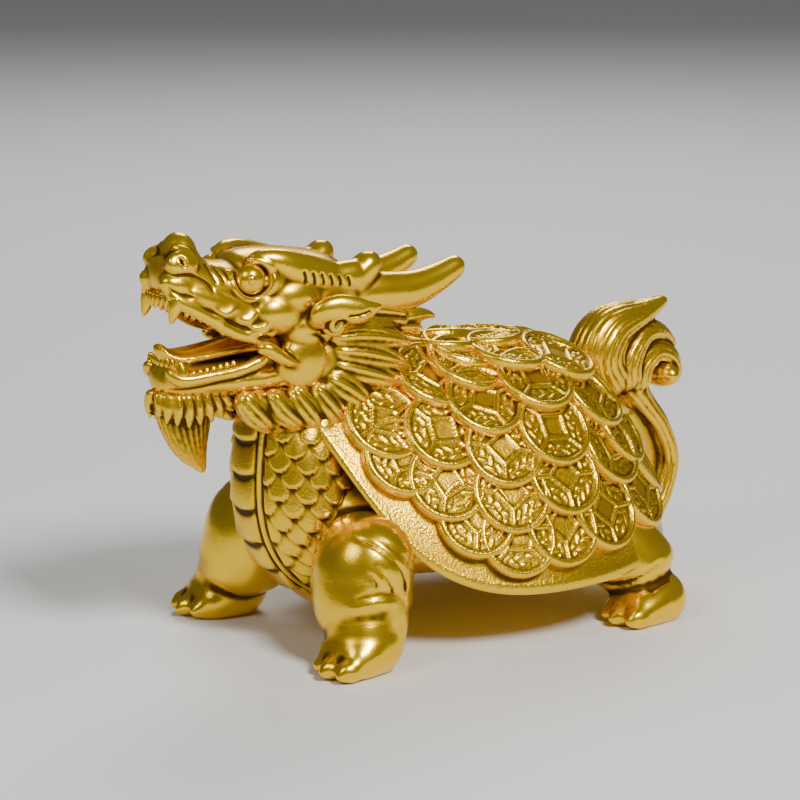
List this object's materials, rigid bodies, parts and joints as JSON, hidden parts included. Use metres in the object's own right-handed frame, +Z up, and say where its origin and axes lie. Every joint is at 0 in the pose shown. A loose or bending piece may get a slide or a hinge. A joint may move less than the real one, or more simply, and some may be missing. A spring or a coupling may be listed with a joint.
{
  "type": "dragon turtle figurine",
  "caption": "Cast standing figure of a dragon-headed turtle, mouth open, with horns, mane, beard, a domed shell tiled with round coins and a curled tail.",
  "frame": {"origin": "on the surface it stands on, under the middle of the figure's bounding box", "axes": "+Z up, -Y the way the head faces, +X the figure's left side"},
  "size_m": [0.09, 0.1588, 0.1043],
  "materials": {
    "gold_paint": "metallic gold paint on cast resin, brown in the recesses"
  },
  "bodies": {
    "root": {"dragon_turtle": "gold_paint"}
  },
  "joints": []
}
